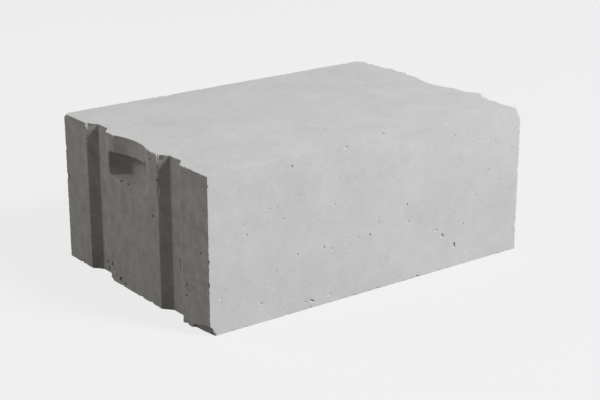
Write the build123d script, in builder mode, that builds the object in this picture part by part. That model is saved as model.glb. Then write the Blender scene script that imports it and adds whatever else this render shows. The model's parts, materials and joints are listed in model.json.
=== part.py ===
"""Thin-bed masonry block of aerated concrete, with tongue-and-groove ends and two grip pockets.

One solid, wire-cut from one cake. X runs along the block's length, from the grooved end (-X) to the
tongued end (+X), Y runs across the wall and Z is up. The origin is under the middle of the whole
block, tongues included, on the bed face. Millimetres.
"""

import os
from math import hypot

from build123d import *

# Laying sizes: end face to end face, wall thickness, course height
laying_length = 624.0
wall_thickness = 425.0
course_height = 249.0

# End profile: two upright trapezoid grooves at one end, two tongues to suit at the other
groove_spacing = 216.0
groove_mouth = 62.0
groove_floor = 30.0
groove_depth = 13.0
tongue_side_clearance = 1.5
tongue_end_clearance = 1.5
profile_radius = 3.0

# Edges left by the cutting wire
arris = 0.3

# Grip pocket in the middle panel of each end: flat ceiling, floor and sides that run out to the rim
grip_offset = 14.0
grip_cover = 29.0
grip_width = 112.0
grip_height = 40.0
grip_rim_radius = 6.0
grip_depth = 28.0
grip_back_width = 64.0
grip_back_height = 36.0
grip_back_radius = 4.0

# Shallow dish over each grip, open at the upper bed face and running out beside the pocket
dish_offset = 2.0
dish_width = 102.0
dish_depth = 11.0
dish_runout = 40.0

# How far a cut runs past the surface that it opens
overrun = 5.0

# Places along X, worked out from the sizes above
tongue_height = groove_depth - tongue_end_clearance
overall_length = laying_length + tongue_height
groove_end_x = -overall_length / 2
tongue_end_x = groove_end_x + laying_length
middle_x = (groove_end_x + tongue_end_x) / 2
groove_floor_x = groove_end_x + groove_depth
tongue_tip_x = tongue_end_x + tongue_height

# Places along Y: a tongue is the groove's own trapezoid, set in by its side clearance
profile_y = groove_spacing / 2
mouth_half = groove_mouth / 2
floor_half = groove_floor / 2
flank_run = mouth_half - floor_half
flank_length = hypot(groove_depth, flank_run)
root_half = mouth_half - tongue_side_clearance * flank_length / groove_depth
tip_half = root_half - flank_run * tongue_height / groove_depth
wall_half = wall_thickness / 2

# Places along Z
grip_ceiling = course_height - grip_cover

# Radius of the dish from its width and depth
dish_radius = (dish_width**2 / 4 + dish_depth**2) / (2 * dish_depth)


# Cutters for the grip at the grooved end: the pocket, lofted from rim to back, and the dish over it
rim_plane = Plane(
    origin=(groove_end_x, grip_offset, grip_ceiling),
    x_dir=(0, -1, 0),
    z_dir=(-1, 0, 0),
)

with BuildPart() as grip:
    with BuildSketch(rim_plane):
        RectangleRounded(grip_width, grip_height, grip_rim_radius, align=(Align.CENTER, Align.MAX))
    with BuildSketch(rim_plane.offset(-grip_depth)):
        RectangleRounded(
            grip_back_width, grip_back_height, grip_back_radius, align=(Align.CENTER, Align.MAX)
        )
    loft()

with BuildPart() as dish:
    with Locations((groove_end_x + dish_depth - dish_radius, dish_offset, grip_ceiling)):
        Cylinder(dish_radius, grip_cover + overrun, align=(Align.CENTER, Align.CENTER, Align.MIN))
        Cone(
            dish_radius - dish_depth,
            dish_radius,
            dish_runout,
            align=(Align.CENTER, Align.CENTER, Align.MAX),
        )


# The block: one upright prism with the end profile, broken arrises, then the grips at both ends
with BuildPart() as block:
    with BuildSketch() as plan:
        with BuildLine():
            Polyline(
                (tongue_end_x, 0),
                (tongue_end_x, profile_y - root_half),
                (tongue_tip_x, profile_y - tip_half),
                (tongue_tip_x, profile_y + tip_half),
                (tongue_end_x, profile_y + root_half),
                (tongue_end_x, wall_half),
                (groove_end_x, wall_half),
                (groove_end_x, profile_y + mouth_half),
                (groove_floor_x, profile_y + floor_half),
                (groove_floor_x, profile_y - floor_half),
                (groove_end_x, profile_y - mouth_half),
                (groove_end_x, 0),
            )
            mirror(about=Plane.XZ)
        make_face()
        rows = plan.vertices().group_by(Axis.X)
        fillet(rows[1] + rows[-1], profile_radius)
        sides = plan.vertices().group_by(Axis.Y)
        chamfer(sides[0] + sides[-1], arris)
    extrude(amount=course_height)
    chamfer(block.faces().filter_by(Axis.Z).edges(), arris)
    for cutter in (grip.part, dish.part):
        add(cutter, mode=Mode.SUBTRACT)
        mirror(cutter, about=Plane.YZ.offset(middle_x), mode=Mode.SUBTRACT)

block.part.label = "block"

os.makedirs("parts", exist_ok=True)
export_step(block.part, "parts/block.step")
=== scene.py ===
"""A worn block of aerated concrete on a pale studio floor.

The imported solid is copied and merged, cut into a fine grid, rubbed smooth in its grips, broken where
a handled block breaks, nicked along its edges and opened by pores. Lengths are metres, as in the frame;
a name that ends in _mm is in millimetres and goes through metres() first.
"""

from __future__ import annotations

import json
import logging
import math
from dataclasses import dataclass, field
from enum import Enum

import bpy
import numpy as np
from mathutils import Matrix, Vector

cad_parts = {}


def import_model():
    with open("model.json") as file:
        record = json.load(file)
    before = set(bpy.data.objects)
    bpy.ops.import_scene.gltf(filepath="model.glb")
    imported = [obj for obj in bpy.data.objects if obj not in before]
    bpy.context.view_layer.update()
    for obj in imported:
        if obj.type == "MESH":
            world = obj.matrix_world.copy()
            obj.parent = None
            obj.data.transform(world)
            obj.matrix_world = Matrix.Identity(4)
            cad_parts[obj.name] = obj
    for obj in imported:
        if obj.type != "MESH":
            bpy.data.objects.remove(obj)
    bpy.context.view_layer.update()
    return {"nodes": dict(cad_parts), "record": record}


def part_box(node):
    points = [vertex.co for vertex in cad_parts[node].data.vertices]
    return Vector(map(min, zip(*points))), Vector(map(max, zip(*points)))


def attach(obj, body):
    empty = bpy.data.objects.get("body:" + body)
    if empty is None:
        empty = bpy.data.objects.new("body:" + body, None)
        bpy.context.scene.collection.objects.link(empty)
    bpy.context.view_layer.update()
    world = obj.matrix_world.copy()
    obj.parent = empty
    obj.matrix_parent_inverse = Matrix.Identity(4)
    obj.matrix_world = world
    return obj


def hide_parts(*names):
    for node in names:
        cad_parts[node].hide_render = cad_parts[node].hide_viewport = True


LOG = logging.getLogger("aerated_block")
NODE = "block"
PHOTO_WIDTH = 600
PHOTO_HEIGHT = 400
MM_PER_METRE = 1000.0

# Sockets of a colour mix by number: its factor, the colour under, the colour over and its result
MIX_FACTOR = 0
MIX_UNDER = 6
MIX_OVER = 7
MIX_RESULT = 2
OVERLAY = {"data_type": "RGBA", "blend_type": "OVERLAY"}

Triple = tuple[float, float, float]
Colour = tuple[float, float, float, float]


def metres(length_mm: float) -> float:
    """Millimetres to metres."""
    return length_mm / MM_PER_METRE


def linear(hex_colour: str) -> Colour:
    """Turns an sRGB hex colour into the linear colour that a shader takes.

    Args:
        hex_colour: the colour as "#rrggbb".

    Returns:
        Linear red, green and blue, with an alpha of 1.
    """
    channels = [int(hex_colour[i : i + 2], 16) / 255 for i in (1, 3, 5)]
    flat = [c / 12.92 if c <= 0.04045 else ((c + 0.055) / 1.055) ** 2.4 for c in channels]
    return flat[0], flat[1], flat[2], 1.0


def select_only(thing: bpy.types.Object) -> None:
    """Leaves one object selected and active, so that operators act on it alone.

    Args:
        thing: the object.
    """
    bpy.ops.object.select_all(action="DESELECT")
    thing.select_set(True)
    bpy.context.view_layer.objects.active = thing


def add_node(
    tree: bpy.types.NodeTree,
    kind: str,
    settings: dict | None = None,
    links: dict | None = None,
) -> bpy.types.Node:
    """Adds one node with its settings and links.

    Args:
        tree: the node tree that gets the node.
        kind: the node's type name.
        settings: node attributes by name, and socket values by socket name or number.
        links: output sockets by the name or number of the input that each one feeds.

    Returns:
        The new node.
    """
    node = tree.nodes.new(kind)
    for name, value in (settings or {}).items():
        if isinstance(name, str) and hasattr(node, name):
            setattr(node, name, value)
        else:
            node.inputs[name].default_value = value
    for name, source in (links or {}).items():
        tree.links.new(source, node.inputs[name])
    return node


class Surface(Enum):
    """How a stretch of the block's surface came about, and the arrises that are painted darker as painted
    shade.
    """

    WIRE_CUT = "aerated_concrete_wire_cut"
    BROKEN = "aerated_concrete_broken"
    # Painted shade: the bevelled arrises are painted darker, so that they do not catch the light as a
    # bright line.
    SHADED_ARRIS = "aerated_concrete_arris_painted_shade"


@dataclass(frozen=True)
class AeratedConcrete:
    """Autoclaved aerated concrete: a chalky, matt, light grey stone full of closed pores.

    A wire-cut face is even and dusty, with faint clouds, flecks where the wire tore pore walls out or
    pressed dust in, and a fine speckle of opened pores, whose dots are painted darker as painted shade
    inside them. The ends, which are planed to their profile, are more mottled and faintly streaked
    upright: partly their rougher planing, partly painted light and shade that stands in for light raking
    over it. A broken face is a little paler and much coarser, because it tears through the pores instead
    of slicing them. The narrow arrises round the bed faces are painted greyer: painted shade that keeps
    their bevel from catching the light as a bright line. The real grain is finer than a millimetre.
    It is drawn coarser, so that it shows.
    """

    surface: Surface
    mean_hex: str
    pale_hex: str
    dark_hex: str
    pore_shade_hex: str
    noise_roughness: float = 0.55
    cloud_mm: float = 85.0
    cloud_detail: float = 3.0
    cloud_range: tuple[float, float] = (0.34, 0.66)
    mottle_mm: float = 17.0
    mottle_detail: float = 4.0
    mottle_share: float = 0.09
    grain_mm: float = 2.6
    grain_detail: float = 2.0
    grain_share: float = 0.1
    grain_height_mm: float = 0.12
    fleck_mm: float = 8.0
    fleck_detail: float = 1.5
    fleck_level: float = 0.64
    fleck_fade: float = 0.16
    fleck_share: float = 0.13
    pore_cell_mm: float = 5.0
    pore_radius_share: float = 0.16
    pored_cells_share: float = 0.45
    streak_mm: float = 5.0
    streak_detail: float = 2.0
    streak_aspect: float = 6.0
    # The ends' extra mottle, streaks and grain: partly their rougher planing, partly painted light and
    # shade for light raking across it.
    end_mottle_share: float = 0.36
    end_streak_share: float = 0.08
    end_grain_share: float = 0.14
    bump_strength: float = 0.6
    roughness: float = 0.94
    specular: float = 0.25

    def build(self) -> bpy.types.Material:
        """Makes the material.

        Returns:
            A node material that reads Object coordinates.
        """
        material = bpy.data.materials.new(self.surface.value)
        material.use_nodes = True
        tree = material.node_tree
        tree.nodes.clear()
        place = add_node(tree, "ShaderNodeTexCoord").outputs["Object"]
        mottle = add_node(
            tree,
            "ShaderNodeTexNoise",
            self._lumps(self.mottle_mm, self.mottle_detail),
            {"Vector": place},
        ).outputs["Fac"]
        grain = add_node(
            tree,
            "ShaderNodeTexNoise",
            self._lumps(self.grain_mm, self.grain_detail),
            {"Vector": place},
        ).outputs["Fac"]
        colour = self._clouds(tree, place)
        layers = (
            (mottle, self.mottle_share),
            (grain, self.grain_share),
            (self._flecks(tree, place), self.fleck_share),
        )
        for layer, share in layers:
            tint = add_node(
                tree,
                "ShaderNodeMix",
                {**OVERLAY, MIX_FACTOR: share},
                {MIX_UNDER: colour, MIX_OVER: layer},
            )
            colour = tint.outputs[MIX_RESULT]
        # The ends get extra mottle: partly their rougher planing, partly painted light and shade.
        colour = self._mottle_and_shade_ends(tree, colour, mottle, grain)
        pores = self._pores(tree, place)
        # Painted shade: the pores' dots take the darker pore colour, for the shade inside them.
        pore_shaded = add_node(
            tree,
            "ShaderNodeMix",
            {"data_type": "RGBA", MIX_OVER: linear(self.pore_shade_hex)},
            {MIX_FACTOR: pores, MIX_UNDER: colour},
        )
        relief = add_node(tree, "ShaderNodeMath", {"operation": "SUBTRACT"}, {0: grain, 1: pores})
        bump = add_node(
            tree,
            "ShaderNodeBump",
            {"Strength": self.bump_strength, "Distance": metres(self.grain_height_mm)},
            {"Height": relief.outputs[0]},
        )
        shader = add_node(
            tree,
            "ShaderNodeBsdfPrincipled",
            {"Roughness": self.roughness, "Specular IOR Level": self.specular},
            {"Base Color": pore_shaded.outputs[MIX_RESULT], "Normal": bump.outputs[0]},
        )
        add_node(tree, "ShaderNodeOutputMaterial", links={"Surface": shader.outputs[0]})
        return material

    def _lumps(self, size_mm: float, detail: float) -> dict[str, float]:
        """Settings of a noise field whose lumps are about size_mm across."""
        return {"Scale": MM_PER_METRE / size_mm, "Detail": detail, "Roughness": self.noise_roughness}

    def _clouds(self, tree: bpy.types.NodeTree, place: bpy.types.NodeSocket) -> bpy.types.NodeSocket:
        """Faint clouds: the dark, the mean and the pale colour over a wide noise field.

        Args:
            tree: the material's tree.
            place: the Object coordinates.

        Returns:
            The colour socket.
        """
        wide = add_node(
            tree,
            "ShaderNodeTexNoise",
            self._lumps(self.cloud_mm, self.cloud_detail),
            {"Vector": place},
        )
        ramp = add_node(tree, "ShaderNodeValToRGB", links={"Fac": wide.outputs["Fac"]})
        dark, pale = ramp.color_ramp.elements
        dark.position, pale.position = self.cloud_range
        dark.color = linear(self.dark_hex)
        pale.color = linear(self.pale_hex)
        ramp.color_ramp.elements.new(sum(self.cloud_range) / 2).color = linear(self.mean_hex)
        return ramp.outputs["Color"]

    def _flecks(self, tree: bpy.types.NodeTree, place: bpy.types.NodeSocket) -> bpy.types.NodeSocket:
        """Sparse flecks: the peaks and dips of a noise field, with an even middle grey between them.

        Args:
            tree: the material's tree.
            place: the Object coordinates.

        Returns:
            The flecks as a grey.
        """
        field_of_lumps = add_node(
            tree,
            "ShaderNodeTexNoise",
            self._lumps(self.fleck_mm, self.fleck_detail),
            {"Vector": place},
        )
        ramp = add_node(tree, "ShaderNodeValToRGB", links={"Fac": field_of_lumps.outputs["Fac"]})
        dips, peaks = ramp.color_ramp.elements
        dips.position = 1 - self.fleck_level - self.fleck_fade
        dips.color = (0.0, 0.0, 0.0, 1.0)
        peaks.position = self.fleck_level + self.fleck_fade
        peaks.color = (1.0, 1.0, 1.0, 1.0)
        for position in (1 - self.fleck_level, self.fleck_level):
            ramp.color_ramp.elements.new(position).color = (0.5, 0.5, 0.5, 1.0)
        return ramp.outputs["Color"]

    def _mottle_and_shade_ends(
        self,
        tree: bpy.types.NodeTree,
        colour: bpy.types.NodeSocket,
        mottle: bpy.types.NodeSocket,
        grain: bpy.types.NodeSocket,
    ) -> bpy.types.NodeSocket:
        """Mottles and streaks the planed ends, which face along X, more than the other sides: partly
        their rougher planing, partly painted light and shade for light raking over it.

        Args:
            tree: the material's tree.
            colour: the colour so far.
            mottle: the mottle's noise field.
            grain: the grain's noise field.

        Returns:
            The colour socket.
        """
        where = add_node(tree, "ShaderNodeTexCoord")
        facing = add_node(tree, "ShaderNodeSeparateXYZ", links={0: where.outputs["Normal"]})
        ends = add_node(tree, "ShaderNodeMath", {"operation": "ABSOLUTE"}, {0: facing.outputs["X"]})
        drawn = add_node(
            tree,
            "ShaderNodeVectorMath",
            {"operation": "MULTIPLY", 1: (1.0, 1.0, 1.0 / self.streak_aspect)},
            {0: where.outputs["Object"]},
        )
        streaks = add_node(
            tree,
            "ShaderNodeTexNoise",
            self._lumps(self.streak_mm, self.streak_detail),
            {"Vector": drawn.outputs[0]},
        ).outputs["Fac"]
        layers = (
            (mottle, self.end_mottle_share),
            (streaks, self.end_streak_share),
            (grain, self.end_grain_share),
        )
        for layer, share in layers:
            amount = add_node(
                tree,
                "ShaderNodeMath",
                {"operation": "MULTIPLY", 1: share},
                {0: ends.outputs[0]},
            )
            tint = add_node(
                tree,
                "ShaderNodeMix",
                OVERLAY,
                {MIX_FACTOR: amount.outputs[0], MIX_UNDER: colour, MIX_OVER: layer},
            )
            colour = tint.outputs[MIX_RESULT]
        return colour

    def _pores(self, tree: bpy.types.NodeTree, place: bpy.types.NodeSocket) -> bpy.types.NodeSocket:
        """Small opened pores: a dot in some of the cells of a Voronoi field, painted darker as painted
        shade inside them.

        Args:
            tree: the material's tree.
            place: the Object coordinates.

        Returns:
            The pores as a mask, 1 inside them and 0 elsewhere.
        """
        cells = add_node(
            tree,
            "ShaderNodeTexVoronoi",
            {"Scale": MM_PER_METRE / self.pore_cell_mm},
            {"Vector": place},
        )
        dot = add_node(
            tree,
            "ShaderNodeMapRange",
            {
                "From Min": self.pore_radius_share,
                "From Max": self.pore_radius_share / 2,
                "interpolation_type": "SMOOTHSTEP",
            },
            {"Value": cells.outputs["Distance"]},
        )
        pick = add_node(
            tree,
            "ShaderNodeMath",
            {"operation": "LESS_THAN", 1: self.pored_cells_share},
            {0: cells.outputs["Color"]},
        )
        mask = add_node(
            tree, "ShaderNodeMath", {"operation": "MULTIPLY"}, {0: dot.outputs[0], 1: pick.outputs[0]}
        )
        return mask.outputs[0]


# The last colour of each finish is painted shade for the inside of its small pores.
WIRE_CUT = AeratedConcrete(Surface.WIRE_CUT, "#c8c7c7", "#cbcaca", "#c5c4c4", "#949290")
BROKEN = AeratedConcrete(
    Surface.BROKEN,
    "#cccbca",
    "#d2d1cf",
    "#c6c5c4",
    "#949290",
    mottle_mm=6.0,
    mottle_share=0.25,
    pored_cells_share=0.7,
    grain_height_mm=0.5,
)
# Painted shade for the bevelled arrises: a darker grey, so that the bevel does not show as a bright line.
SHADED_ARRIS = AeratedConcrete(Surface.SHADED_ARRIS, "#adacab", "#b1b0af", "#a9a8a7", "#949290")


@dataclass
class Camera:
    """The photograph's camera, read from the block's corners and edges in it."""

    place_mm: Triple = (-1402.1, -1881.5, 887.8)
    azimuth_deg: float = -36.82
    elevation_deg: float = 18.73
    focal_px: float = 1470.3
    sensor_mm: float = 36.0

    def axes(self) -> Matrix:
        """Works out how the camera is turned.

        Returns:
            Its right, up and back as the columns of a turn.
        """
        turn = math.radians(self.azimuth_deg)
        rise = math.radians(self.elevation_deg)
        back = Vector(
            (math.sin(turn) * math.cos(rise), -math.cos(turn) * math.cos(rise), math.sin(rise))
        )
        right = Vector((math.cos(turn), math.sin(turn), 0.0))
        return Matrix((right, back.cross(right), back)).transposed()

    def eye(self) -> Vector:
        """Where the camera stands."""
        return Vector(self.place_mm) / MM_PER_METRE

    def sight(self, pixel_x: float, pixel_y: float) -> Vector:
        """Looks through a pixel of the photograph.

        Args:
            pixel_x: pixels across from the left edge.
            pixel_y: pixels down from the upper edge.

        Returns:
            The way from the eye through that pixel, one metre long.
        """
        across = (pixel_x - PHOTO_WIDTH / 2) / self.focal_px
        upward = (PHOTO_HEIGHT / 2 - pixel_y) / self.focal_px
        return (self.axes() @ Vector((across, upward, -1.0))).normalized()

    def build(self) -> None:
        """Sets up the scene's camera."""
        lens = bpy.data.cameras.new("photo_camera")
        lens.sensor_width = self.sensor_mm
        lens.lens = self.focal_px * self.sensor_mm / PHOTO_WIDTH
        camera = bpy.data.objects.new("photo_camera", lens)
        bpy.context.scene.collection.objects.link(camera)
        camera.matrix_world = Matrix.Translation(self.eye()) @ self.axes().to_4x4()
        bpy.context.scene.camera = camera


@dataclass
class Lump:
    """One rough ball, modelled once and copied for every break, nick or pore of its kind."""

    subdivisions: int
    roughness: float
    seed: int
    smoothing: float = 0.35
    points: np.ndarray = field(init=False)
    faces: np.ndarray = field(init=False)

    def model(self) -> Lump:
        """Models the ball by roughening and smoothing an icosphere, and keeps its points and faces.

        Returns:
            The lump itself.
        """
        bpy.ops.object.select_all(action="DESELECT")
        bpy.ops.mesh.primitive_ico_sphere_add(subdivisions=self.subdivisions, radius=1.0)
        ball = bpy.context.object
        bpy.ops.object.mode_set(mode="EDIT")
        bpy.ops.mesh.select_all(action="SELECT")
        bpy.ops.transform.vertex_random(offset=self.roughness, normal=1.0, seed=self.seed)
        bpy.ops.mesh.vertices_smooth(factor=self.smoothing)
        bpy.ops.object.mode_set(mode="OBJECT")
        self.points = np.array([v.co for v in ball.data.vertices])
        self.faces = np.array([p.vertices[:] for p in ball.data.polygons])
        bpy.data.meshes.remove(ball.data)
        return self


@dataclass
class Cutter:
    """Copies of one lump, joined, that are taken out of the block in one cut."""

    name: str
    lump: Lump
    material: bpy.types.Material
    centres: list[Vector] = field(default_factory=list)
    shapes: list[np.ndarray] = field(default_factory=list)
    reaches: list[float] = field(default_factory=list)

    def add(self, centre: Vector, axes: list[Vector]) -> bool:
        """Adds a copy, unless it would meet one that is there.

        Args:
            centre: the copy's middle.
            axes: its three half-axes, each as long as the lump reaches that way.

        Returns:
            True if the copy was added.
        """
        reach = max(axis.length for axis in axes) * (1 + self.lump.roughness)
        for other, other_reach in zip(self.centres, self.reaches):
            if (other - centre).length < reach + other_reach:
                return False
        self.centres.append(centre)
        self.shapes.append(np.array(axes))
        self.reaches.append(reach)
        return True

    def take_from(self, piece: bpy.types.Object) -> None:
        """Joins the copies and cuts them out of the piece.

        Args:
            piece: the block's object, whose mesh is changed.
        """
        count = len(self.lump.points)
        points = [self.lump.points @ axes + np.array(c) for axes, c in zip(self.shapes, self.centres)]
        faces = [self.lump.faces + i * count for i in range(len(points))]
        mesh = bpy.data.meshes.new(self.name)
        mesh.from_pydata(np.concatenate(points), [], np.concatenate(faces))
        mesh.materials.append(self.material)
        tool = bpy.data.objects.new(self.name, mesh)
        bpy.context.scene.collection.objects.link(tool)
        select_only(tool)
        bpy.ops.object.mode_set(mode="EDIT")
        bpy.ops.mesh.select_all(action="SELECT")
        bpy.ops.mesh.normals_make_consistent(inside=False)
        bpy.ops.object.mode_set(mode="OBJECT")
        select_only(piece)
        cut = piece.modifiers.new(self.name, "BOOLEAN")
        cut.operation = "DIFFERENCE"
        cut.solver = "MANIFOLD"
        cut.material_mode = "TRANSFER"
        cut.object = tool
        bpy.ops.object.modifier_apply(modifier=cut.name)
        bpy.data.meshes.remove(mesh)
        LOG.info("%s: %d cuts, %d faces left", self.name, len(points), len(piece.data.polygons))


@dataclass(frozen=True)
class Break:
    """A stretch of edge or corner that has broken away.

    at_mm is a point on the edge, inward gives the way into the block along each axis, or 0 along the
    edge, and reach_mm is how far the break goes each way: inwards, or half its length along the edge.
    """

    name: str
    at_mm: Triple
    inward: tuple[int, int, int]
    reach_mm: Triple
    flatness: float = 1.6

    def lump_place(self) -> tuple[Vector, list[Vector]]:
        """Works out the lump that leaves this break.

        Returns:
            The lump's middle, which lies outside the block, and its three half-axes.
        """
        ways = sum(abs(way) for way in self.inward)
        swell = math.sqrt((1 + self.flatness) ** 2 + (ways - 1) * self.flatness**2)
        along = math.sqrt(1 + 2 * self.flatness)
        middle = []
        half = []
        for at, way, reach in zip(self.at_mm, self.inward, self.reach_mm):
            middle.append(at - way * self.flatness * reach)
            half.append(reach * swell if way else reach * swell / along)
        axes = [Vector((half[0], 0, 0)), Vector((0, half[1], 0)), Vector((0, 0, half[2]))]
        return Vector(middle) / MM_PER_METRE, [axis / MM_PER_METRE for axis in axes]


@dataclass(frozen=True)
class Rub:
    """A stretch of both ends that handling and milling have rubbed smooth.

    across_mm and up_mm bound it along Y and Z, reach_mm is how far it goes in from the end's plane,
    times is how often it is smoothed and strength how far each time.
    """

    across_mm: tuple[float, float]
    up_mm: tuple[float, float]
    reach_mm: float
    times: int
    strength: float = 0.5

    def holds(self, deep_mm: float, across_mm: float, up_mm: float) -> bool:
        """Tells whether a place lies in the stretch."""
        beside = self.across_mm[0] < across_mm < self.across_mm[1]
        return deep_mm < self.reach_mm and beside and self.up_mm[0] < up_mm < self.up_mm[1]


GRIP = Rub(across_mm=(-62.0, 74.0), up_mm=(165.0, 246.0), reach_mm=40.0, times=1)
GRIP_SIDE = Rub(across_mm=(-60.0, -26.0), up_mm=(172.0, 236.0), reach_mm=30.0, times=8)
DISH = Rub(across_mm=(-76.0, 82.0), up_mm=(222.0, 248.0), reach_mm=16.0, times=45)

# Pores that the photograph shows: pixel across, pixel down, width in millimetres
SEEN_PORES: tuple[Triple, ...] = (
    (292, 166.5, 4.6),
    (323, 129.5, 7.0),
    (382, 133, 8.0),
    (335, 204.5, 3.4),
    (340, 177.5, 3.0),
    (393, 178, 3.0),
    (407, 204.5, 4.8),
    (408.6, 221.6, 5.0),
    (436, 230, 5.2),
    (442, 236, 8.0),
    (454, 245, 8.0),
    (463, 224.5, 4.6),
    (489, 169.5, 3.0),
    (495, 139, 2.6),
    (370, 235, 5.0),
    (358, 237.5, 3.8),
    (324, 247.5, 5.0),
    (332, 248.5, 3.6),
    (297.4, 255, 5.6),
    (276.5, 271, 3.6),
    (312, 301, 8.0),
    (305.5, 302, 3.6),
    (310.5, 306, 3.4),
    (307, 299, 2.6),
    (330, 294.5, 4.0),
    (261, 303.5, 5.0),
    (221, 299, 3.8),
    (244, 226, 3.4),
    (247, 235, 3.2),
    (284, 219, 3.6),
    (273, 194.5, 2.6),
    (388, 249.5, 3.0),
    (122, 180.5, 8.5),
    (128.5, 184.5, 5.0),
    (150, 159, 5.0),
    (153, 216, 5.5),
    (74, 229, 4.6),
    (201, 253, 5.0),
    (188, 290, 4.6),
    (346, 147.5, 6.4),
    (187, 285, 5.2),
    (190.5, 291, 3.4),
    (186.5, 295, 4.6),
    (192, 286, 2.4),
    (355, 178.5, 2.4),
    (379, 222, 3.4),
    (300, 195.5, 2.6),
    (108.5, 262, 6.5),
    (112.5, 264, 7.0),
    (110, 268, 7.0),
    (115.5, 268, 3.4),
    (117, 274, 4.2),
    (121, 279, 9.0),
    (126, 284, 5.0),
    (157, 180.5, 5.0),
    (69.5, 176, 6.0),
)

# Upright slots that it shows: pixel across, pixel down, width and height in millimetres
SEEN_SLOTS: tuple[tuple[float, float, float, float], ...] = ((180.5, 264, 3.0, 19.0),)


@dataclass
class BlockBody:
    """The block itself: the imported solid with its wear, breaks, nicks and pores.

    A spread is that of a lognormal draw. nick_lift is how far a nick's middle lies outside its edge, as a
    share of its size, and square_hit is the least cosine at which a stray pore's ray may meet a side.
    """

    cad: bpy.types.Object
    camera: Camera
    groove_end_x: float
    tongue_end_x: float
    merge_mm: float = 0.01
    flat_deg: float = 0.5
    arris_slope: tuple[float, float] = (0.6, 0.8)
    grid_mm: float = 6.0
    wave_mm: float = 0.35
    wave_lump_mm: float = 48.0
    wave_depth: int = 2
    wave_contrast: float = 1.8
    wave_level: float = 1.3
    break_subdivisions: int = 5
    break_roughness: float = 0.05
    small_subdivisions: int = 2
    sharp_deg: float = 24.0
    nicks: int = 760
    tries_per_nick: int = 2
    nick_roughness: float = 0.22
    nick_mm: float = 1.8
    nick_spread: float = 0.4
    nick_limit_mm: float = 3.6
    nick_length: tuple[float, float] = (1.0, 2.6)
    nick_breadth: float = 1.2
    nick_lift: float = 0.35
    upright_nick_share: float = 4.0
    crisp_arris_mm: float = 3.0
    crisp_nick_share: float = 0.4
    pore_roughness: float = 0.16
    pore_aspect: tuple[float, float] = (1.0, 1.5)
    pore_depth_share: float = 0.38
    end_pore_depth_share: float = 0.9
    end_slope: float = 0.7
    slot_depth_share: float = 1.5
    stray_pores: int = 320
    stray_pore_mm: float = 2.0
    stray_pore_spread: float = 0.3
    square_hit: float = 0.9
    smooth_deg: float = 32.0
    seed: int = 31
    cut: bpy.types.Material = field(init=False)
    broken: bpy.types.Material = field(init=False)
    arris: bpy.types.Material = field(init=False)
    piece: bpy.types.Object = field(init=False)

    def build(self) -> None:
        """Makes the finished piece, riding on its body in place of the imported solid."""
        self.cut = WIRE_CUT.build()
        self.broken = BROKEN.build()
        self.arris = SHADED_ARRIS.build()
        self._copy_solid()
        self._cut_grid()
        self._soften_grips()
        self._wave()
        self._take_breaks()
        self._take_nicks()
        self._take_pores()
        self._dress()

    def _copy_solid(self) -> None:
        """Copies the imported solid, merges its loose triangles and joins its flat faces."""
        self.piece = self.cad.copy()
        self.piece.data = self.cad.data.copy()
        self.piece.name = "worn_block"
        for key in list(self.piece.keys()):
            del self.piece[key]
        self.piece.parent = None
        bpy.context.scene.collection.objects.link(self.piece)
        self.piece.data.materials.clear()
        for finish in (self.cut, self.broken, self.arris):
            self.piece.data.materials.append(finish)
        select_only(self.piece)
        bpy.ops.object.mode_set(mode="EDIT")
        bpy.ops.mesh.select_all(action="SELECT")
        bpy.ops.mesh.remove_doubles(threshold=metres(self.merge_mm))
        bpy.ops.mesh.dissolve_limited(angle_limit=math.radians(self.flat_deg))
        bpy.ops.object.mode_set(mode="OBJECT")
        # The bevel faces get the darker arris finish: painted shade, so that the bevel does not catch the
        # light as a bright line.
        arris_index = self.piece.data.materials.find(SHADED_ARRIS.surface.value)
        for face in self.piece.data.polygons:
            if self.arris_slope[0] < abs(face.normal.z) < self.arris_slope[1]:
                face.material_index = arris_index

    def _cut_grid(self) -> None:
        """Cuts the faces by planes along each axis, so that they have points to wear."""
        low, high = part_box(NODE)
        select_only(self.piece)
        bpy.ops.object.mode_set(mode="EDIT")
        for axis in range(3):
            strips = round((high[axis] - low[axis]) / metres(self.grid_mm))
            normal = [float(i == axis) for i in range(3)]
            for strip in range(1, strips):
                point = low.lerp(high, strip / strips)
                bpy.ops.mesh.select_all(action="SELECT")
                bpy.ops.mesh.bisect(plane_co=point, plane_no=normal)
        bpy.ops.object.mode_set(mode="OBJECT")
        LOG.info("grid: %d faces", len(self.piece.data.polygons))

    def _soften_grips(self) -> None:
        """Takes the crisp edge off both grips, and rubs their flat sides and the dishes much softer."""
        select_only(self.piece)
        bpy.ops.object.mode_set(mode="EDIT")
        bpy.ops.mesh.select_mode(type="VERT")
        for rub in (GRIP, GRIP_SIDE, DISH):
            bpy.ops.mesh.select_all(action="DESELECT")
            bpy.ops.object.mode_set(mode="OBJECT")
            for point in self.piece.data.vertices:
                point.select = self._within(rub, point.co)
            bpy.ops.object.mode_set(mode="EDIT")
            bpy.ops.mesh.vertices_smooth(factor=rub.strength, repeat=rub.times)
        bpy.ops.object.mode_set(mode="OBJECT")

    def _within(self, rub: Rub, point: Vector) -> bool:
        """Tells whether a point lies in a rubbed stretch of either end."""
        deep = min(point.x - self.groove_end_x, self.tongue_end_x - point.x)
        return rub.holds(deep * MM_PER_METRE, point.y * MM_PER_METRE, point.z * MM_PER_METRE)

    def _wave(self) -> None:
        """Gives the wire-cut faces a slight wave by pushing points in, never out."""
        clouds = bpy.data.textures.new("face_wave", "CLOUDS")
        clouds.noise_scale = metres(self.wave_lump_mm)
        clouds.noise_depth = self.wave_depth
        clouds.contrast = self.wave_contrast
        select_only(self.piece)
        push = self.piece.modifiers.new("face_wave", "DISPLACE")
        push.texture = clouds
        push.texture_coords = "LOCAL"
        push.mid_level = self.wave_level
        push.strength = metres(self.wave_mm)
        bpy.ops.object.modifier_apply(modifier=push.name)
        bpy.data.textures.remove(clouds)

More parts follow.
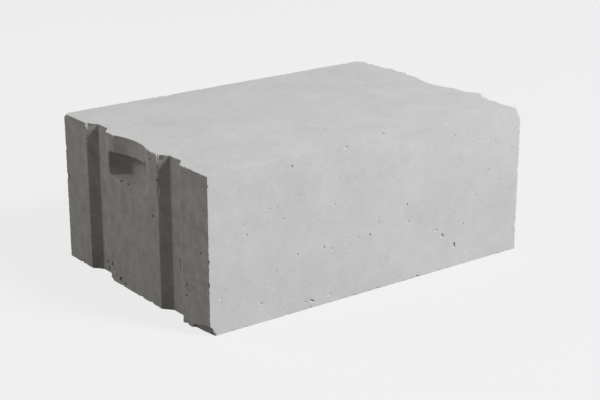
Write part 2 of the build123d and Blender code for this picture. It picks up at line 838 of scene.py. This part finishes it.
    def _breaks(self) -> list[Break]:
        """The breaks that the photograph shows, and a few like them on the sides that it doesn't.

        Returns:
            The breaks, those on the seen sides first.
        """
        low, high = (corner * MM_PER_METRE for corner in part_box(NODE))
        far = self.tongue_end_x * MM_PER_METRE
        near, front, back, top, tip = low.x, low.y, high.y, high.z, high.x
        return [
            Break("near_foot", (near, front, 0), (1, 1, 1), (11, 58, 17)),
            Break("far_top_corner", (far, front, top), (-1, 1, -1), (11, 26, 17)),
            Break("panel_foot", (near, 77, 0), (1, -1, 1), (6, 8, 5)),
            Break("dish_corner", (near, -46, top), (1, 0, -1), (4, 7, 4)),
            Break("panel_top", (near, -63, top), (1, 0, -1), (3, 6, 4)),
            Break("back_top_corner", (near, back, top), (1, -1, -1), (7, 9, 6)),
            Break("far_back_corner", (far, back, top), (-1, -1, -1), (9, 12, 7)),
            Break("back_tongue_top", (tip, 108, top), (-1, 0, -1), (10, 26, 6)),
            Break("front_tongue_top", (tip, -137, top), (-1, 0, -1), (19, 32, 8)),
            Break("far_shoulder_top", (far, -180, top), (-1, 0, -1), (9, 34, 5)),
            Break("panel_edge", (near, -77, 192), (1, 1, 0), (2, 4, 12)),
            Break("left_panel_edge", (near, back, 142), (1, -1, 0), (3, 3, 7)),
            Break("foot_nick", (-133, front, 0), (0, 1, 1), (5, 2, 3)),
            Break("far_foot", (far, back, 0), (-1, -1, 1), (16, 14, 12)),
            Break("back_foot", (140, back, 0), (0, -1, 1), (18, 6, 8)),
            Break("back_top", (-120, back, top), (0, -1, -1), (14, 4, 5)),
            Break("left_groove_rim", (near, 139, top), (1, 1, -1), (5, 4, 11)),
            Break("right_groove_rim", (near, -77, top), (1, 1, -1), (5, 4, 13)),
        ]

    def _take_breaks(self) -> None:
        """Takes out the large breaks, one cut each."""
        for number, one in enumerate(self._breaks()):
            lump = Lump(self.break_subdivisions, self.break_roughness, self.seed + number).model()
            cutter = Cutter(one.name, lump, self.broken)
            cutter.add(*one.lump_place())
            cutter.take_from(self.piece)

    def _take_nicks(self) -> None:
        """Takes small bites out of all sharp edges, at seeded places and more on the upright ones.

        The upper front arris is crisp, so its bites are finer.
        """
        edges = self._sharp_edges()
        odds = np.array(
            [length * (1 + self.upright_nick_share * abs(along.z)) for _, along, _, length in edges]
        )
        draw = np.random.default_rng(self.seed)
        lump = Lump(self.small_subdivisions, self.nick_roughness, self.seed).model()
        cutter = Cutter("nicks", lump, self.broken)
        low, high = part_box(NODE)
        tries = self.nicks * self.tries_per_nick
        for index in draw.choice(len(edges), size=tries, p=odds / odds.sum()):
            middle, along, inward, _ = edges[index]
            size = min(draw.lognormal(math.log(self.nick_mm), self.nick_spread), self.nick_limit_mm)
            if max(middle.y - low.y, high.z - middle.z) < metres(self.crisp_arris_mm):
                size *= self.crisp_nick_share
            length = size * draw.uniform(*self.nick_length)
            side = along.cross(inward)
            breadth = size * self.nick_breadth
            axes = [along * metres(length), inward * metres(size), side * metres(breadth)]
            if len(cutter.centres) < self.nicks:
                cutter.add(middle - inward * metres(size * self.nick_lift), axes)
        cutter.take_from(self.piece)

    def _sharp_edges(self) -> list[tuple[Vector, Vector, Vector, float]]:
        """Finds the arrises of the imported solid's worn copy.

        Returns:
            For each sharp edge its middle, its direction, the way into the block and its length.
        """
        mesh = self.piece.data
        normals: dict[tuple[int, int], list[Vector]] = {}
        for face in mesh.polygons:
            for key in face.edge_keys:
                normals.setdefault(key, []).append(face.normal)
        shortest = metres(self.grid_mm) / 3
        found = []
        for (start, end), pair in normals.items():
            if len(pair) == 2 and pair[0].angle(pair[1], 0.0) > math.radians(self.sharp_deg):
                first = mesh.vertices[start].co
                last = mesh.vertices[end].co
                middle = (first + last) / 2
                inward = -(pair[0] + pair[1]).normalized()
                length = (last - first).length
                if length > shortest and not self._within(GRIP, middle):
                    found.append((middle, (last - first).normalized(), inward, length))
        return found

    def _take_pores(self) -> None:
        """Opens the pores that the photograph shows, then strays on every side."""
        draw = np.random.default_rng(self.seed + 1)
        lump = Lump(self.small_subdivisions, self.pore_roughness, self.seed + 1).model()
        cutters = [Cutter(name, lump, self.broken) for name in ("pores", "pores_that_meet")]
        bpy.context.view_layer.update()
        self._open_seen(cutters, draw)
        self._open_strays(cutters, draw)
        for cutter in cutters:
            cutter.take_from(self.piece)

    def _open_seen(self, cutters: list[Cutter], draw: np.random.Generator) -> None:
        """Adds the pores and slots that the photograph shows, where a line of sight meets the block.

        Args:
            cutters: the cutters that take the pores out, one after the other.
            draw: the seeded source of chance.
        """
        eye = self.camera.eye()
        for pixel_x, pixel_y, width_mm in SEEN_PORES:
            hit, point, normal, _ = self.piece.ray_cast(eye, self.camera.sight(pixel_x, pixel_y))
            if hit:
                self._open_pore(cutters, draw, point, normal, width_mm)
        up = Vector((0, 0, 1))
        for pixel_x, pixel_y, width_mm, height_mm in SEEN_SLOTS:
            _, point, normal, _ = self.piece.ray_cast(eye, self.camera.sight(pixel_x, pixel_y))
            half = metres(width_mm / 2)
            reach = normal * half * self.slot_depth_share
            cutters[0].add(point, [up * metres(height_mm / 2), normal.cross(up) * half, reach])

    def _open_strays(self, cutters: list[Cutter], draw: np.random.Generator) -> None:
        """Adds small pores at seeded places, on each side by its share of the surface.

        Args:
            cutters: the cutters that take the pores out, one after the other.
            draw: the seeded source of chance.
        """
        low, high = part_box(NODE)
        size = high - low
        sides = np.array([size.y * size.z, size.x * size.z, size.x * size.y])
        for axis in draw.choice(3, size=self.stray_pores, p=sides / sides.sum()):
            start = Vector([draw.uniform(low[i], high[i]) for i in range(3)])
            way = Vector([0.0, 0.0, 0.0])
            way[axis] = draw.choice((-1.0, 1.0))
            start[axis] = high[axis] + size[axis] if way[axis] < 0 else low[axis] - size[axis]
            hit, point, normal, _ = self.cad.ray_cast(start, way)
            if hit and normal.dot(way) < -self.square_hit:
                width_mm = draw.lognormal(math.log(self.stray_pore_mm), self.stray_pore_spread)
                self._open_pore(cutters, draw, point, normal, width_mm)

    def _open_pore(
        self,
        cutters: list[Cutter],
        draw: np.random.Generator,
        point: Vector,
        normal: Vector,
        width_mm: float,
    ) -> None:
        """Adds one pore to the first cutter that has room for it.

        Args:
            cutters: the cutters that take the pores out, one after the other.
            draw: the seeded source of chance.
            point: a point on the block's surface.
            normal: the surface's outward normal there.
            width_mm: the pore's mean width.
        """
        turn = Matrix.Rotation(draw.uniform(0, math.tau), 3, normal)
        across = turn @ normal.orthogonal().normalized()
        aspect = draw.uniform(*self.pore_aspect)
        half = metres(width_mm / 2)
        on_end = abs(normal.x) > self.end_slope
        deep = self.end_pore_depth_share if on_end else self.pore_depth_share
        reach = normal * metres(width_mm) * deep
        axes = [across * half * aspect, normal.cross(across) * half / aspect, reach]
        for cutter in cutters:
            if cutter.add(point, axes):
                return

    def _dress(self) -> None:
        """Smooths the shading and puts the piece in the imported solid's place."""
        select_only(self.piece)
        bpy.ops.object.shade_smooth_by_angle(angle=math.radians(self.smooth_deg))
        weigh = self.piece.modifiers.new("flat_faces", "WEIGHTED_NORMAL")
        weigh.keep_sharp = True
        bpy.ops.object.modifier_apply(modifier=weigh.name)
        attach(self.piece, "root")
        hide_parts(NODE)
        triangles = sum(len(p.vertices) - 2 for p in self.piece.data.polygons)
        LOG.info("worn_block: %d triangles", triangles)


@dataclass
class Studio:
    """A pale floor and three lights.

    A large key light stands at the front right, a weak fill at the back left, and a faint bounce low
    beside the grooved end.
    """

    key_from: Triple = (0.35, -0.728, 0.653)
    key_distance: float = 7.0
    key_width: float = 1.75
    key_watts: float = 614.0
    key_hex: str = "#fdfeff"
    fill_from: Triple = (-0.62, 0.64, 0.46)
    fill_distance: float = 6.0
    fill_width: float = 2.8
    fill_watts: float = 98.0
    fill_hex: str = "#fffbf3"
    bounce_from: Triple = (-1.1, -0.45, 0.08)
    bounce_distance: float = 1.2
    bounce_width: float = 0.6
    bounce_watts: float = 0.3
    bounce_hex: str = "#fff6ea"
    ambient_hex: str = "#414141"
    backdrop_hex: str = "#f0f0f0"
    floor_hex: str = "#524f47"
    shadow_hex: str = "#e6e6e6"
    floor_glow_hex: str = "#f1f1f1"
    floor_glow_share: float = 0.91
    floor_width: float = 60.0

    def build(self, middle: Vector) -> None:
        """Sets up the floor, the world and the lights.

        Args:
            middle: the middle of the block, which the lights point at.
        """
        self._floor()
        self._world()
        key = self._light("key", self.key_width, self.key_watts, self.key_hex)
        self._hang(key, Vector(self.key_from), self.key_distance, middle)
        fill = self._light("fill", self.fill_width, self.fill_watts, self.fill_hex)
        self._hang(fill, Vector(self.fill_from), self.fill_distance, middle)
        bounce = self._light("bounce", self.bounce_width, self.bounce_watts, self.bounce_hex)
        self._hang(bounce, Vector(self.bounce_from), self.bounce_distance, middle)
        bpy.context.scene.view_settings.view_transform = "Standard"

    def _floor(self) -> None:
        """A wide pale floor that keeps a light shadow."""
        bpy.ops.object.select_all(action="DESELECT")
        bpy.ops.mesh.primitive_plane_add(size=self.floor_width)
        floor = bpy.context.object
        floor.name = "studio_floor"
        material = bpy.data.materials.new("pale_studio_floor")
        material.use_nodes = True
        tree = material.node_tree
        tree.nodes.clear()
        seen = self._seen(tree)
        bounce = add_node(tree, "ShaderNodeBsdfDiffuse", {"Color": linear(self.floor_hex)})
        shadow = add_node(tree, "ShaderNodeBsdfDiffuse", {"Color": linear(self.shadow_hex)})
        glow = add_node(tree, "ShaderNodeEmission", {"Color": linear(self.floor_glow_hex)})
        paper = add_node(
            tree,
            "ShaderNodeMixShader",
            {0: self.floor_glow_share},
            {1: shadow.outputs[0], 2: glow.outputs[0]},
        )
        mix = add_node(
            tree, "ShaderNodeMixShader", links={0: seen, 1: bounce.outputs[0], 2: paper.outputs[0]}
        )
        add_node(tree, "ShaderNodeOutputMaterial", links={"Surface": mix.outputs[0]})
        floor.data.materials.append(material)

    def _world(self) -> None:
        """An even grey surround that looks pale where it is seen."""
        world = bpy.data.worlds.new("studio")
        bpy.context.scene.world = world
        world.use_nodes = True
        tree = world.node_tree
        tree.nodes.clear()
        seen = self._seen(tree)
        surround = add_node(tree, "ShaderNodeBackground", {"Color": linear(self.ambient_hex)})
        backdrop = add_node(tree, "ShaderNodeBackground", {"Color": linear(self.backdrop_hex)})
        mix = add_node(
            tree,
            "ShaderNodeMixShader",
            links={0: seen, 1: surround.outputs[0], 2: backdrop.outputs[0]},
        )
        add_node(tree, "ShaderNodeOutputWorld", links={"Surface": mix.outputs[0]})

    def _seen(self, tree: bpy.types.NodeTree) -> bpy.types.NodeSocket:
        """Tells the rays that see the surroundings from those that only carry light.

        Args:
            tree: the tree of the floor or the world.

        Returns:
            A socket that is 1 for a camera, glossy or transmission ray, and 0 for others.
        """
        path = add_node(tree, "ShaderNodeLightPath")
        either = add_node(
            tree,
            "ShaderNodeMath",
            {"operation": "MAXIMUM"},
            {0: path.outputs["Is Camera Ray"], 1: path.outputs["Is Glossy Ray"]},
        )
        any_ray = add_node(
            tree,
            "ShaderNodeMath",
            {"operation": "MAXIMUM"},
            {0: either.outputs[0], 1: path.outputs["Is Transmission Ray"]},
        )
        return any_ray.outputs[0]

    def _light(self, name: str, width: float, watts: float, hex_colour: str) -> bpy.types.Object:
        """Makes one square area light.

        Args:
            name: the light's name.
            width: the side of the square.
            watts: its power.
            hex_colour: its colour.

        Returns:
            The light's object.
        """
        lamp = bpy.data.lights.new(name, "AREA")
        lamp.size = width
        lamp.energy = watts
        lamp.color = linear(hex_colour)[:3]
        light = bpy.data.objects.new(name, lamp)
        bpy.context.scene.collection.objects.link(light)
        return light

    def _hang(self, light: bpy.types.Object, way: Vector, distance: float, middle: Vector) -> None:
        """Hangs a light at a distance, a given way from the middle, and turns it to face the middle."""
        light.location = middle + way.normalized() * distance
        light.rotation_euler = way.to_track_quat("Z", "Y").to_euler()


def main() -> None:
    """Builds the block and its studio, whose lights face the middle of the block's box."""
    logging.basicConfig(level=logging.INFO, format="%(name)s: %(message)s")
    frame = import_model()
    mounts = {mount["name"]: mount for mount in frame["record"]["mounts"]}
    camera = Camera()
    camera.build()
    ends = [mounts[name]["pos_m"][0] for name in ("grooved_end", "tongued_end")]
    block = BlockBody(frame["nodes"][NODE], camera, *ends)
    block.build()
    low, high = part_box(NODE)
    Studio().build((low + high) / 2)


if __name__ == "__main__":
    main()
